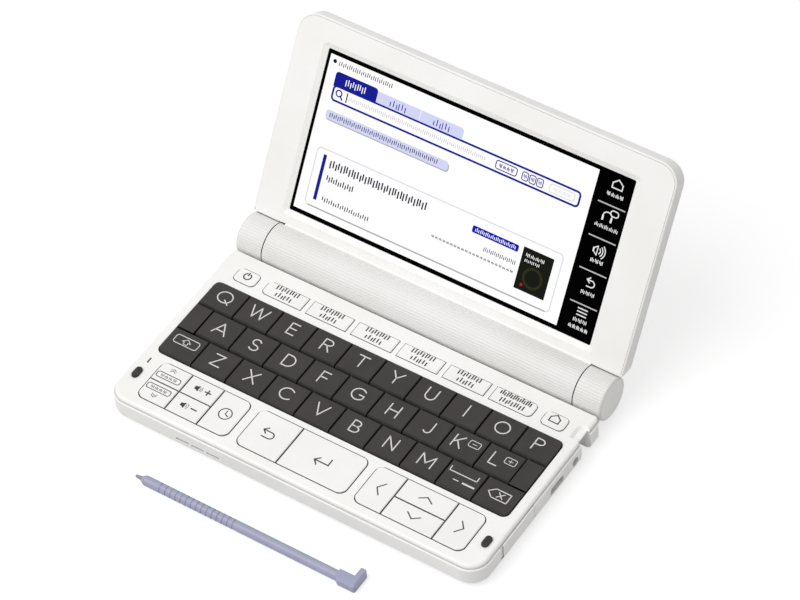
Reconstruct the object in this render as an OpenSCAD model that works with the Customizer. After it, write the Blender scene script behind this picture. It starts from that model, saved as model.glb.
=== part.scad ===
// Clamshell pocket dictionary with a letter keyboard, a colour touch screen and a stylus.
// The lid stands open, and the stylus lies on the table in front of the keyboard.
// Units are millimetres. +X is right, +Y is towards the hinge, +Z is up, z = 0 is the table.

/* [Case] */
// Width of the lower case and the lid
case_w = 149.4; // [149:0.2:160]
// Depth from the front edge to the back of the hinge barrel
case_d = 92.4; // [91.6:0.2:104]
// Corner radius seen from above
corner_r = 7.5; // [6.8:0.1:9]
// Height of the lower case above its underside
tub_h = 8.0; // [7.8:0.1:9.5]
// Radius of the rounded bottom edges
under_r = 2.4; // [1.2:0.1:3]
// Thickness of the case walls
wall = 1.4; // [1.2:0.1:1.6]
// Thickness of the floor of the lower case
floor_t = 1.2; // [1:0.1:1.4]
// Thickness of the keyboard cover
cover_t = 1.6; // [1.4:0.1:1.8]
// How far the cover and the bezel stand back from the outer wall
rim_step = 0.7; // [0.4:0.1:0.9]

/* [Hinge and lid] */
// Radius of the hinge barrel
barrel_r = 8.0; // [7.9:0.05:8.6]
// Height of the hinge axis above the keyboard cover
axis_over_cover = 0.2; // [0:0.1:0.6]
// Width of each end knuckle, its gap to the middle barrel included
knuckle_w = 11.1; // [9:0.1:12]
// How far the end knuckles stand back from the sides
knuckle_inset = 0.8; // [0.4:0.1:1.5]
// Gap between the turning barrel and what surrounds it
barrel_gap = 0.35; // [0.3:0.05:0.45]
// How much further from the barrel the keyboard cover ends
cover_gap = 0.55; // [0:0.05:0.7]
// Radius of the hinge pins
pin_r = 2.5; // [2:0.1:3]
// Angle between the keyboard and the lid as drawn
lid_angle = 121; // [60:1:150]
// Length of the lid from the hinge axis to its free edge
lid_len = 84.2; // [80:0.2:84.4]
// Thickness of the lid
lid_t = 7.2; // [7:0.1:8]
// How far the bezel lies behind the hinge axis
bezel_back = 0.6; // [0.4:0.1:0.8]
// Thickness of the bezel
bezel_t = 1.2; // [1:0.1:1.4]

/* [Screen] */
// Bezel left of the dark window
window_left = 13.3; // [13:0.1:20]
// Bezel right of the dark window
window_right = 14.5; // [13:0.1:20]
// Bezel above the window
window_top = 10.05; // [9:0.05:14]
// Bezel between the window and the barrel
window_foot = 5.4; // [5:0.05:10]
// Width of the sloped border round the window
bevel_w = 2.0; // [1:0.1:2.4]
// Thickness of the touch panel
panel_t = 1.4; // [1:0.1:1.6]
// Thickness of the display behind the touch panel
lcd_t = 2.6; // [2:0.1:2.8]

/* [Keys] */
// Distance from the case's sides to the block of dark keys
key_margin = 4.45; // [4.3:0.05:8]
// Distance from the hinge axis to the block of dark keys
key_back = 23.8; // [23.6:0.1:26]
// Distance from the block of dark keys to the white keys in front
cluster_back = 2.3; // [2.1:0.1:5]
// Gap between neighbouring keys
key_gap = 0.5; // [0.4:0.05:0.7]
// Height of the dark key tops above the cover
dark_rise = 0.6; // [0.3:0.1:0.7]
// Height of the white key tops above the cover
white_rise = 0.4; // [0.2:0.1:0.6]
// How far the sloped front of a dark key reaches forward
skirt_d = 1.0; // [0.6:0.1:1.4]
// How far the sloped front of a dark key drops
skirt_h = 1.2; // [0.8:0.1:1.4]
// Chamfer round the key tops
key_edge = 0.25; // [0.1:0.05:0.35]
// How far a key goes down when it is pressed
travel = 0.9; // [0.5:0.1:0.9]
// Distance from the case's front to the white keys
cluster_front = 4.45; // [4:0.05:6]
// Depth of the white key clusters
cluster_d = 17.15; // [15:0.05:17.4]
// Distance from the hinge axis to the middle of the top row
top_row_back = 17.6; // [17.4:0.1:18]
// Depth of the top row of white keys
top_row_d = 5.9; // [5.6:0.1:6.6]
// Gap between the keys of the top row
top_gap = 2.3; // [1.6:0.1:3]

/* [Inside] */
// Thickness of the main circuit board
board_t = 0.8; // [0.6:0.1:1]
// Thickness of the rubber key mat
mat_t = 0.5; // [0.3:0.1:0.6]
// Radius of a key's plunger
plunger_r = 2.0; // [1.4:0.1:2.4]
// Radius of the stylus shaft
stylus_r = 1.8; // [1.5:0.05:1.85]
// Length of the stylus from tip to head
stylus_len = 89.2; // [80:0.2:90]
// Radius of a battery cell
cell_r = 7.0; // [6.8:0.05:7.05]
// Length of a battery cell
cell_len = 50; // [48:0.5:50.5]
// Height of the rubber feet
foot_h = 0.8; // [0.5:0.1:1.2]

/* [Hidden] */
$fn = 64;
clear = 0.05;
under_z = foot_h;
seam_z = under_z + tub_h;
cover_z = seam_z + cover_t;
front_y = -case_d / 2;
half_w = case_w / 2;
hinge_y = case_d / 2 - barrel_r;
hinge_z = cover_z + axis_over_cover;
seam_x = half_w - rim_step;
seam_r = corner_r - rim_step;
knuckle_end_x = half_w - knuckle_inset;
mid_barrel_x = knuckle_end_x - knuckle_w;
cradle_r = barrel_r + barrel_gap;
rear_wall_y = hinge_y - cradle_r - wall;
knuckle_x = mid_barrel_x + barrel_gap + clear;
back_y = hinge_y - cradle_r - cover_gap;
back_corner_r = 2.0;
neck_x = knuckle_end_x - 3;
lip_y = hinge_y - 3.4;
lip_z = under_z + floor_t + 0.2;

board_top = seam_z - 2.4;
board_z = board_top - board_t;
mat_z = board_top + mat_t;
cap_z = seam_z + 0.1;
collar_z = cap_z - travel - 0.1;
plunger_z = board_top + travel + 0.1;

cluster_front_y = front_y + cluster_front;
cluster_back_y = cluster_front_y + cluster_d;
cluster_mid_y = cluster_front_y + cluster_d / 2;
dark_back_y = hinge_y - key_back;
dark_front_y = cluster_back_y + cluster_back;
top_row_y = hinge_y - top_row_back;
dark_x = half_w - key_margin;
pitch_x = dark_x / 5;
pitch_y = (dark_back_y - dark_front_y) / 3;
top_pitch = 1.316 * pitch_x;
top_key_w = top_pitch - top_gap;
cluster_r = 3;
dark_r = 2.6;
rocker_z = cap_z - 0.3;
rocker_r = 0.7;

// left edge, right edge and the inner dividers of the three white clusters, in key widths
left_cluster = pitch_x * [-4.62, -3.76, -2.83, -1.99];
mid_cluster = pitch_x * [-1.75, -0.54, 1.37];
arrow_cluster = pitch_x * [1.6, 2.41, 3.83, 4.65];
end_key_w = 8.6;
power_x = -half_w + 12.4;
home_x = half_w - 12.4;

silo_y = hinge_y - 19.5;
silo_z = under_z + 2.4;
silo_r = stylus_r + 0.15;
notch_x = half_w - 5.0;
notch_y = [silo_y - 1.5, silo_y + 4.5];
stylus_x = -49.2;
stylus_y = -64.6;
stylus_head = [8, 4.2, 3.7];
leg = [2.4, 6];
head_pocket = stylus_head[0] - (half_w - notch_x) + 0.4;
silo_x = notch_x - head_pocket - (stylus_len - stylus_head[0]) - 1.5;

screw_r = 0.75;
boss_r = 1.5;
screw_head_r = 1.5;
corner_screw = [half_w - 5.1, front_y + 5];
rear_screw = [mid_barrel_x - 6.8, rear_wall_y - boss_r - 0.65];
screw_pos = concat(
  [for (s = [-1, 1]) [s * corner_screw[0], corner_screw[1]]],
  [for (s = [-1, 1]) [s * rear_screw[0], rear_screw[1]]],
  [[(left_cluster[3] + mid_cluster[0]) / 2, cluster_mid_y], [(mid_cluster[2] + arrow_cluster[0]) / 2, cluster_mid_y]]
);

bumper_pos = [for (s = [-1, 1]) [s * (half_w - 4.7), cluster_mid_y - 0.3]];
bumper_size = [2.4, 4.6];
foot_size = [12, 4];
foot_pos = concat(
  [for (s = [-1, 1]) [s * (half_w - 14.7), front_y + 8.2]],
  [for (s = [-1, 1]) [s * (mid_barrel_x - 7.3), lip_y - 1.8 - foot_size[1] / 2]]
);
pad_sink = 0.4;
board_x = half_w - wall - 3.3;
board_y = [front_y + wall + 1.8, rear_wall_y - 4.45];
mat_edge = 0.5;

port_y = hinge_y - 36.35;
port_z = board_z - 0.8;
port_w = 7.5;
port_h = 2.6;
jack_y = hinge_y - 24.9;
jack_z = under_z + 4;
jack_r = 1.8;
jack_wall = 0.5;
card_y = [front_y + 13.7, front_y + 34.2];
card_h = 5.9;
card_t = 1.0;
slit_w = 5.1;
slit_x = [for (i = [0:2]) -half_w + 29.2 + i * (slit_w + 1.1)];

bezel_n = -bezel_back;
back_n = bezel_n - lid_t;
panel_n = bezel_n - bezel_t;
lid_seam_x = half_w - rim_step;
lid_seam_v = lid_len - rim_step;
lid_edge_v = cradle_r;
bore_r = cell_r + 0.15;
bay_x = cell_len + 2.6;
door_v = barrel_r - 0.2;
head_r = 4;
head_t = 1.2;
head_x = bay_x + 0.3;
window_w = case_w - window_left - window_right;
window_x = (window_left - window_right) / 2;
window_h = lid_len - window_top - window_foot - lid_edge_v;
window_v = lid_len - window_top - window_h / 2;
panel_over = 1.5;
icon_strip = 13.5;
lid_boss_x = (half_w - wall + window_w / 2 + panel_over) / 2;

LETTERS = [
  ["q", "w", "e", "r", "t", "y", "u", "i", "o", "p"],
  ["a", "s", "d", "f", "g", "h", "j", "k", "l"],
  ["shift", "z", "x", "c", "v", "b", "n", "m", "space", "delete"]
];

// A key is [name, left, right, front, back, corner radii, kind]; the radii run
// front left, front right, back right, back left.
function dark_key(row, i, last) = let(x = -dark_x + (i + (row == 1 ? 0.5 : 0)) * pitch_x) [
  str("key_", LETTERS[row][i]), x, x + pitch_x,
  dark_back_y - (row + 1) * pitch_y, dark_back_y - row * pitch_y,
  [row == 2 && i == 0 ? dark_r : 0, row == 2 && i == last ? dark_r : 0,
   row == 0 && i == last ? dark_r : 0, row == 0 && i == 0 ? dark_r : 0],
  "dark"
];
function top_key(name, x, w, r) = [
  name, x - w / 2 - key_gap / 2, x + w / 2 + key_gap / 2,
  top_row_y - top_row_d / 2 - key_gap / 2, top_row_y + top_row_d / 2 + key_gap / 2, r, "white"
];
function low_key(name, x0, x1, half, r, kind = "white") = [
  name, x0, x1, half == "back" ? cluster_mid_y : cluster_front_y,
  half == "front" ? cluster_mid_y : cluster_back_y, r, kind
];
DARK_KEYS = [for (row = [0:2]) for (i = [0:len(LETTERS[row]) - 1]) dark_key(row, i, len(LETTERS[row]) - 1)];
TOP_KEYS = concat(
  [top_key("key_power", power_x, end_key_w, [2, 2, 2, 2])],
  [for (i = [0:5]) top_key(str("key_book_", i + 1), (i - 2.5) * top_pitch, top_key_w,
    [i == 0 ? 2 : 0, i == 5 ? 2 : 0, i == 5 ? 2 : 0, i == 0 ? 2 : 0])],
  [top_key("key_home", home_x, end_key_w, [2, 2, 2, 2])]
);
LOW_KEYS = [
  low_key("key_page", left_cluster[0], left_cluster[1], "both", [cluster_r, 0, 0, cluster_r], "rocker"),
  low_key("key_volume", left_cluster[1], left_cluster[2], "both", [0, 0, 0, 0], "rocker"),
  low_key("key_history", left_cluster[2], left_cluster[3], "both", [0, cluster_r, cluster_r, 0]),
  low_key("key_back", mid_cluster[0], mid_cluster[1], "both", [cluster_r, 0, 0, cluster_r]),
  low_key("key_enter", mid_cluster[1], mid_cluster[2], "both", [0, cluster_r, cluster_r, 0]),
  low_key("key_left", arrow_cluster[0], arrow_cluster[1], "both", [cluster_r, 0, 0, cluster_r]),
  low_key("key_up", arrow_cluster[1], arrow_cluster[2], "back", [0, 0, 0, 0]),
  low_key("key_down", arrow_cluster[1], arrow_cluster[2], "front", [0, 0, 0, 0]),
  low_key("key_right", arrow_cluster[2], arrow_cluster[3], "both", [0, cluster_r, cluster_r, 0])
];
KEYS = concat(DARK_KEYS, TOP_KEYS, LOW_KEYS);

shell_color = [0.95, 0.95, 0.94];
dark_color = [0.26, 0.25, 0.25];

// Rectangle with its own radius at each corner
module rounded(x0, x1, y0, y1, r) {
  difference() {
    translate([x0, y0]) square([x1 - x0, y1 - y0]);
    for (c = [[x0, y0, 1, 1, r[0]], [x1, y0, -1, 1, r[1]], [x1, y1, -1, -1, r[2]], [x0, y1, 1, -1, r[3]]])
      if (c[4] > 0)
        translate([c[0], c[1]]) scale([c[2], c[3]]) difference() {
          translate([-1, -1]) square(c[4] + 1);
          translate([c[4], c[4]]) circle(c[4]);
        }
  }
}
module plate(x0, x1, y0, y1, z0, z1, r) {
  translate([0, 0, z0]) linear_extrude(z1 - z0) rounded(x0, x1, y0, y1, r);
}
module block(x0, x1, y0, y1, z0, z1) {
  translate([x0, y0, z0]) cube([x1 - x0, y1 - y0, z1 - z0]);
}
// A (y, z) outline run along X, and an (x, z) outline run along Y
module along_x(x0, x1) {
  translate([x0, 0, 0]) rotate([90, 0, 90]) linear_extrude(x1 - x0) children();
}
module along_y(y0, y1) {
  translate([0, y1, 0]) rotate([90, 0, 0]) linear_extrude(y1 - y0) children();
}
module rod_x(x0, x1, y, z, r) {
  translate([x0, y, z]) rotate([0, 90, 0]) cylinder(h = x1 - x0, r = r);
}
// An edge profile, given as [distance inwards, height], run round three sides and two corners.
// The corners are at y1, or at y0 when flip is -1.
module edge_band(half, y_end, y_corner, r, profile) {
  side = sign(y_end - y_corner);
  low = min(y_end, y_corner + side * r);
  high = max(y_end, y_corner + side * r);
  for (s = [-1, 1]) {
    along_y(low, high) polygon([for (p = profile) [s * (half - p[0]), p[1]]]);
    translate([s * (half - r), y_corner + side * r, 0]) rotate([0, 0, side > 0 ? (s > 0 ? -90 : 180) : (s > 0 ? 0 : 90)])
      rotate_extrude(angle = 90) polygon([for (p = profile) [r - p[0], p[1]]]);
  }
  along_x(-(half - r), half - r) polygon([for (p = profile) [y_corner + side * p[0], p[1]]]);
}
function arc(cx, cy, r, a0, a1, n = 6) = [for (i = [0:n]) let(a = a0 + (a1 - a0) * i / n) [cx + r * cos(a), cy + r * sin(a)]];

// The lower case at the end knuckles, seen from the side: a wedge that runs up to the barrel
module knuckle_side() {
  p = [hinge_y - 6.2, under_z];
  d = [hinge_y - p[0], hinge_z - p[1]];
  reach = sqrt(d[0] * d[0] + d[1] * d[1] - barrel_r * barrel_r);
  slope = atan2(d[1], d[0]) - asin(barrel_r / norm(d));
  translate([hinge_y, hinge_z]) circle(barrel_r);
  polygon([[rear_wall_y, under_z], p, p + reach * [cos(slope), sin(slope)], [hinge_y, hinge_z],
    [hinge_y - barrel_r / 2, hinge_z], [hinge_y - barrel_r / 2, seam_z], [rear_wall_y, seam_z]]);
}
module knuckle() {
  e = 0.9;
  translate([knuckle_x, hinge_y, hinge_z]) rotate([0, 90, 0]) rotate_extrude() union() {
    square([barrel_r, knuckle_end_x - knuckle_x - e]);
    square([barrel_r - e, knuckle_end_x - knuckle_x]);
    translate([barrel_r - e, knuckle_end_x - knuckle_x - e]) circle(e);
  }
  along_x(knuckle_x, neck_x) knuckle_side();
}
// What the rounded rear corners take off, seen from above
module back_corner(x, r) {
  translate([x - r, back_y - r]) difference() {
    square([r + 1, r + barrel_gap / 2]);
    circle(r);
  }
}

module lower_case() {
  color(shell_color) difference() {
    union() {
      edge_band(half_w, back_y, front_y, corner_r, concat(
        [[wall, seam_z], [rim_step / 2, seam_z], [0, seam_z - rim_step / 2]],
        arc(under_r, under_z + under_r, under_r, 180, 270),
        [[corner_r - 1, under_z], [corner_r - 1, under_z + floor_t], [wall, under_z + floor_t]]));
      plate(-half_w + corner_r - 2, half_w - corner_r + 2, front_y + corner_r - 2, lip_y,
        under_z, under_z + floor_t, [corner_r - 4, corner_r - 4, 0, 0]);
      // rear wall with the cradle of the barrel
      block(-half_w + wall, half_w - wall, rear_wall_y, back_y, under_z, seam_z);
      block(-neck_x, neck_x, rear_wall_y, hinge_y - barrel_r / 2, under_z, seam_z);
      block(-knuckle_x, knuckle_x, rear_wall_y, lip_y, under_z, lip_z);
      for (s = [0, 1]) mirror([s, 0, 0]) {
        knuckle();
      }
      for (p = screw_pos) translate([p[0], p[1], under_z]) cylinder(h = board_z - under_z - 0.1, r = boss_r + 0.7);
      // tube that holds the stylus
      rod_x(silo_x - wall, notch_x, silo_y, silo_z, silo_r + 0.4);
      block(silo_x - wall, notch_x, silo_y - 1.6, silo_y + 1.6, under_z, silo_z);
      block(notch_x - wall, notch_x, notch_y[0] - wall, notch_y[1] + wall, under_z, seam_z);
      block(notch_x - head_pocket - wall, notch_x, silo_y - stylus_head[2] / 2 - 1.2, silo_y + stylus_head[2] / 2 + 1.2, under_z, board_z - 0.1);
      block(notch_x - wall, half_w - 0.5, notch_y[0] - wall, notch_y[0], under_z + 1, seam_z);
      block(notch_x - wall, half_w - 0.5, notch_y[1], notch_y[1] + wall, under_z + 1, seam_z);
      // thicker wall behind the card cover
      block(half_w - wall - 1, half_w - wall + 0.3, card_y[0] - 1, card_y[1] + 1, under_z + 1, seam_z);
      // posts under the board
      for (p = [[-40, -10], [0, -10], [40, -10], [-40, 20], [0, 10]])
        translate([p[0], p[1], under_z]) cylinder(h = board_z - under_z, r = 1.6);
    }
    rod_x(-knuckle_x, knuckle_x, hinge_y, hinge_z, cradle_r);
    block(-knuckle_x, knuckle_x, lip_y, hinge_y + barrel_r + 5, -1, hinge_z);
    block(-knuckle_x, knuckle_x, hinge_y - barrel_r / 2 - 0.1, hinge_y + 9, lip_z, hinge_z);
    for (s = [-1, 1]) rod_x(s > 0 ? knuckle_x - 1 : -knuckle_end_x + 2.6, s > 0 ? knuckle_end_x - 2.6 : -knuckle_x + 1,
      hinge_y, hinge_z, pin_r + 0.03);
    for (p = screw_pos) translate([p[0], p[1], 0]) {
      cylinder(h = under_z + 1.2, r = screw_head_r + 0.2);
      cylinder(h = board_z + 1, r = screw_r + 0.15);
      translate([0, 0, board_z - 1]) cylinder(h = 3, r = boss_r + 0.1);
    }
    rod_x(silo_x, half_w + 1, silo_y, silo_z, silo_r);
    block(notch_x, half_w + 1, notch_y[0], notch_y[1], -1, seam_z + 1);
    block(notch_x - head_pocket, notch_x + 1, silo_y - stylus_head[2] / 2 - 0.2, silo_y + stylus_head[2] / 2 + 0.2, -1, silo_z + stylus_r + 0.15);
    for (p = foot_pos) plate(p[0] - foot_size[0] / 2 - clear, p[0] + foot_size[0] / 2 + clear,
      p[1] - foot_size[1] / 2 - clear, p[1] + foot_size[1] / 2 + clear, -1, under_z + pad_sink, [2, 2, 2, 2]);
    // openings in the right wall and the sound slits in the front wall
    along_x(half_w - wall - 1, half_w + 1) rounded(port_y - port_w / 2 - 0.2, port_y + port_w / 2 + 0.2,
      port_z - port_h / 2 - 0.2, port_z + port_h / 2 + 0.2, [0.8, 0.8, 0.8, 0.8]);
    rod_x(half_w - wall - 1, half_w + 1, jack_y, jack_z, jack_r);
    block(half_w - card_t - 0.2, half_w + 1, card_y[0], card_y[1], seam_z - card_h, seam_z + 1);
    block(half_w - wall - 2, half_w + 1, card_y[0] + 3, card_y[1] - 3, board_z - 2.1, board_z - 0.3);
    for (x = slit_x) block(x, x + slit_w, front_y - 1, front_y + wall + 1, under_z + 3.4, under_z + 4);
    for (s = [0, 1]) mirror([s, 0, 0]) translate([0, 0, -1]) linear_extrude(seam_z + 2) back_corner(half_w, back_corner_r);
  }
}

module key_openings(z0, z1) {
  grow = 0.1;
  plate(-dark_x - grow, dark_x + grow, dark_front_y - grow, dark_back_y + grow, z0, z1,
    [dark_r, dark_r, dark_r, dark_r]);
  for (key = TOP_KEYS) plate(key[1], key[2], key[3], key[4], z0, z1, key[5]);
  for (c = [left_cluster, mid_cluster, arrow_cluster])
    plate(c[0] - grow, c[len(c) - 1] + grow, cluster_front_y - grow, cluster_back_y + grow, z0, z1,
      [cluster_r, cluster_r, cluster_r, cluster_r]);
}

// Finger dip beside the stylus: a flat floor with sloped sides at its left and its back
module finger_dip() {
  x = half_w - 3.9;
  y = [notch_y[0] + 0.4, notch_y[1] - 0.1];
  r = 1.2;
  z = cover_z - 0.9;
  slope = [[-1, z], [0, z], [1, cover_z], [1, cover_z + 1], [-1, cover_z + 1]];
  plate(x, half_w + 1, y[0], y[1], z, cover_z + 1, [0, 0, 0, r]);
  along_y(y[0], y[1] - r) polygon([for (p = slope) [x - p[0], p[1]]]);
  along_x(x + r, half_w + 1) polygon([for (p = slope) [y[1] + p[0], p[1]]]);
  translate([x + r, y[1] - r, 0]) rotate([0, 0, 90]) rotate_extrude(angle = 90) polygon([for (p = slope) [r + p[0], p[1]]]);
}

module keyboard_cover() {
  edge = [1.2, cover_t - 0.5];
  color(shell_color) difference() {
    union() {
      edge_band(seam_x, back_y, front_y + rim_step, seam_r, concat(
        [[seam_r - 1, seam_z], [0, seam_z]],
        [for (a = [0:15:90]) [edge[0] * (1 - cos(a)), cover_z - edge[1] * (1 - sin(a))]],
        [[seam_r - 1, cover_z]]));
      plate(-seam_x + seam_r - 2, seam_x - seam_r + 2, front_y + rim_step + seam_r - 2, back_y, seam_z, cover_z,
        [seam_r - 4, seam_r - 4, 0, 0]);
      for (p = screw_pos) translate([p[0], p[1], board_z - 0.1]) cylinder(h = seam_z - board_z + 0.2, r = boss_r);
    }
    key_openings(seam_z - 1, cover_z + 1);
    for (p = screw_pos) translate([p[0], p[1], 0]) cylinder(h = seam_z + 0.6, r = screw_r + 0.02);
    for (p = bumper_pos) plate(p[0] - bumper_size[0] / 2 - clear, p[0] + bumper_size[0] / 2 + clear,
      p[1] - bumper_size[1] / 2 - clear, p[1] + bumper_size[1] / 2 + clear, cover_z - 0.8, cover_z + 1,
      [1.2, 1.2, 1.2, 1.2]);
    // lanyard slot
    block(-half_w + 4.7, -half_w + 5.3, cluster_mid_y + 5.1, cluster_mid_y + 7.5, cover_z - 1.1, cover_z + 1);
    finger_dip();
    block(half_w - 1.5, half_w + 1, notch_y[0], notch_y[1], seam_z - 1, cover_z + 1);
    for (s = [0, 1]) mirror([s, 0, 0]) translate([0, 0, seam_z - 1]) linear_extrude(cover_t + 2) back_corner(seam_x, back_corner_r - rim_step);
  }
}

module key_mat() {
  color(dark_color) difference() {
    union() {
      plate(-board_x - mat_edge, board_x + mat_edge, board_y[0] - mat_edge + 0.1, board_y[1] + 0.2, board_top, mat_z, [3, 3, 3, 3]);
      for (key = KEYS) if (key[6] != "rocker") collar((key[1] + key[2]) / 2, (key[3] + key[4]) / 2);
      for (key = KEYS) if (key[6] == "rocker") {
        for (s = [-1, 1]) collar((key[1] + key[2]) / 2, cluster_mid_y + s * cluster_d / 4);
        block(key[1] + 2, key[2] - 2, cluster_mid_y - 0.8, cluster_mid_y + 0.8, board_top, rocker_z - rocker_r - clear);
      }
      // blank keys at the ends of the middle row
      for (s = [-1, 1]) block(min(s * dark_x, s * (dark_x - pitch_x / 2)) + key_gap / 2,
        max(s * dark_x, s * (dark_x - pitch_x / 2)) - key_gap / 2,
        dark_back_y - 2 * pitch_y + key_gap / 2, dark_back_y - pitch_y - key_gap / 2, board_top, cover_z + dark_rise);
    }
    for (key = KEYS) if (key[6] != "rocker") well((key[1] + key[2]) / 2, (key[3] + key[4]) / 2);
    for (key = KEYS) if (key[6] == "rocker")
      for (s = [-1, 1]) well((key[1] + key[2]) / 2, cluster_mid_y + s * cluster_d / 4);
    for (p = screw_pos) translate([p[0], p[1], 0]) cylinder(h = seam_z, r = boss_r + 0.3);
    edge_cuts();
  }
}
// room for the stylus notch and for the earphone socket, which stands through the board
module edge_cuts() {
  block(notch_x - wall - 0.2, half_w, notch_y[0] - wall - 0.2, notch_y[1] + wall + 5, board_z - 0.1, seam_z);
  block(half_w - wall - 12.3, half_w, jack_y - jack_r - jack_wall - 0.3, jack_y + jack_r + jack_wall + 0.3, board_top, seam_z);
}
module collar(x, y) {
  translate([x, y, board_top]) cylinder(h = collar_z - board_top, r = plunger_r + 0.7);
}
module well(x, y) {
  translate([x, y, board_top - 1]) cylinder(h = collar_z - board_top + 2, r = plunger_r + 0.15);
}

module keycap(key) {
  g = key_gap / 2;
  x0 = key[1] + g;
  x1 = key[2] - g;
  y0 = key[3] + g;
  y1 = key[4] - g;
  dark = key[6] == "dark";
  top = cover_z + (dark ? dark_rise : white_rise);
  drop = dark ? skirt_h : key_edge;
  lean = dark ? skirt_d : key_edge;
  radii = [for (r = key[5]) max(r - g, 0)];
  mid = [(x0 + x1) / 2, (y0 + y1) / 2];
  color(dark ? dark_color : shell_color) difference() {
    union() {
      intersection() {
        plate(x0, x1, y0, y1, cap_z, top, radii);
        along_x(x0 - 1, x1 + 1) polygon([[y0, cap_z], [y0, top - drop], [y0 + lean, top],
          [y1 - key_edge, top], [y1, top - key_edge], [y1, cap_z]]);
        along_y(y0 - 1, y1 + 1) polygon([[x0, cap_z], [x0, top - key_edge], [x0 + key_edge, top],
          [x1 - key_edge, top], [x1, top - key_edge], [x1, cap_z]]);
      }
      if (key[6] == "rocker") {
        for (s = [-1, 1]) translate([mid[0], cluster_mid_y + s * cluster_d / 4, plunger_z])
          cylinder(h = cap_z - plunger_z + 0.1, r = plunger_r);
        rod_x(x0 + 2, x1 - 2, cluster_mid_y, rocker_z, rocker_r);
      } else
        translate([mid[0], mid[1], plunger_z]) cylinder(h = cap_z - plunger_z + 0.1, r = plunger_r);
    }
    if (key[6] == "rocker") block(x0 - 1, x1 + 1, cluster_mid_y - g, cluster_mid_y + g, top - 1, top + 1);
  }
}

module main_board() {
  color("seagreen") difference() {
    union() {
      plate(-board_x, board_x, board_y[0], board_y[1], board_z, board_top, [6, 6, 1, 1]);
      // processor, memory, regulator and connector under the board
      block(-20, -6, -6, 8, board_z - 1.3, board_z);
      block(2, 14, -5, 3, board_z - 1.1, board_z);
      block(-38, -31, 2, 8, board_z - 1.6, board_z);
      block(-board_x + 8, -board_x + 20, board_y[1] - 12, board_y[1] - 8, board_z - 2.2, board_z);
      for (i = [0:5]) block(20 + 4 * i, 22.2 + 4 * i, -28, -26.6, board_z - 0.8, board_z);
      // loudspeaker behind the slits
      plate(slit_x[0] - 0.5, slit_x[2] + slit_w + 0.5, front_y + wall + 0.6, front_y + 10, board_z - 3.2, board_z + 0.1, [1, 1, 1, 1]);
      // charging socket, earphone socket and card socket at the right edge
      block(half_w - wall - 6, half_w - wall - 0.1, port_y - port_w / 2, port_y + port_w / 2, port_z - port_h / 2, port_z + port_h / 2);
      block(half_w - wall - 12, half_w - wall - 0.1, jack_y - jack_r - jack_wall, jack_y + jack_r + jack_wall,
        jack_z - jack_r - jack_wall, jack_z + jack_r + jack_wall);
      block(half_w - wall - 16, half_w - wall - 1.1, card_y[0] + 3.4, card_y[1] - 3.4, board_z - 1.9, board_z);
    }
    along_x(half_w - wall - 5, half_w) rounded(port_y - port_w / 2 + 0.4, port_y + port_w / 2 - 0.4,
      port_z - port_h / 2 + 0.4, port_z + port_h / 2 - 0.6, [0.4, 0.4, 0.4, 0.4]);
    rod_x(half_w - wall - 11, half_w, jack_y, jack_z, jack_r);
    block(half_w - wall - 15, half_w, card_y[0] + 4.4, card_y[1] - 4.4, board_z - 1.5, board_z - 0.4);
    for (p = screw_pos) translate([p[0], p[1], 0]) cylinder(h = seam_z, r = boss_r + 0.9);
    block(notch_x - wall - 0.2, half_w, notch_y[0] - wall - 0.2, notch_y[1] + wall + 5, board_z - 0.1, board_top + 0.1);
  }
}

module card_cover() {
  g = 0.1;
  color(shell_color) difference() {
    union() {
      block(half_w - card_t, half_w, card_y[0] + g, card_y[1] - g, seam_z - card_h + g, seam_z - g);
      block(half_w - card_t - 1.5, half_w - card_t, card_y[0] + 4.8, card_y[1] - 4.8, board_z - 1.3, board_z - 0.5);
    }
    block(half_w - 0.35, half_w + 1, card_y[0], card_y[0] + 1.5, seam_z - card_h, seam_z);
  }
}

module hinge_pins() {
  color("silver") for (s = [-1, 1]) scale([s, 1, 1]) {
    rod_x(head_x, knuckle_end_x - 2.8, hinge_y, hinge_z, pin_r);
    rod_x(head_x, head_x + head_t, hinge_y, hinge_z, head_r);
  }
}

// Lid pieces are drawn flat: x as above, y away from the hinge axis, z towards the reader
module on_lid() {
  translate([0, hinge_y, hinge_z]) rotate([180 - lid_angle, 0, 0]) children();
}
module barrel_back() {
  intersection() {
    union() {
      circle(barrel_r);
      translate([0, back_n]) square([door_v, -back_n - 2]);
    }
    union() {
      translate([-20, -20]) square([20, 20 + bezel_n - clear]);
      translate([-0.1, -20]) square([20, 20 + panel_n - clear]);
    }
  }
}

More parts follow.
